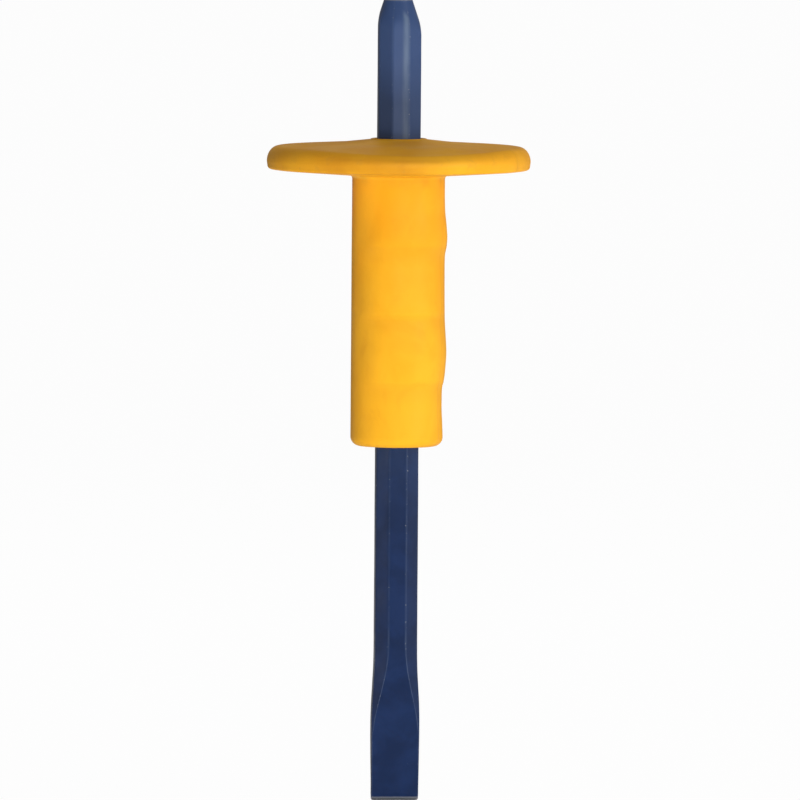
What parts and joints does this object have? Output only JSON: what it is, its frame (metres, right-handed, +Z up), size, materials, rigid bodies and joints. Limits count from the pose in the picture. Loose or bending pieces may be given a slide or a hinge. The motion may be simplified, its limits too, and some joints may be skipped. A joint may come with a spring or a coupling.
{
  "type": "cold chisel with hand guard",
  "caption": "Flat cold chisel: octagonal steel bar with a crowned struck head and a flared wedge blade, in a push-on round hand guard with a finger grip.",
  "frame": {"origin": "centre of the cutting edge, which is the lowest point of the tool stood on its blade", "axes": "+Z up the bar towards the struck head, X along the cutting edge, the flats of the blade facing +Y and -Y; the finger pads of the grip are between +X and -Y"},
  "size_m": [0.0986, 0.0986, 0.3],
  "materials": {
    "lacquered_steel": "blue lacquer on forged steel, semi-gloss, worn thin along the edges, bare at the struck face and the cutting edge",
    "guard_pvc": "soft yellow PVC, satin, moulded"
  },
  "bodies": {
    "chisel": {"chisel_bar": "lacquered_steel"},
    "guard": {"hand_guard": "guard_pvc"}
  },
  "joints": [
    {"name": "guard_slide", "type": "slide", "parent": "chisel", "child": "guard", "axis": [0, 0, 1], "range_m": [-0.072, 0.05]}
  ]
}
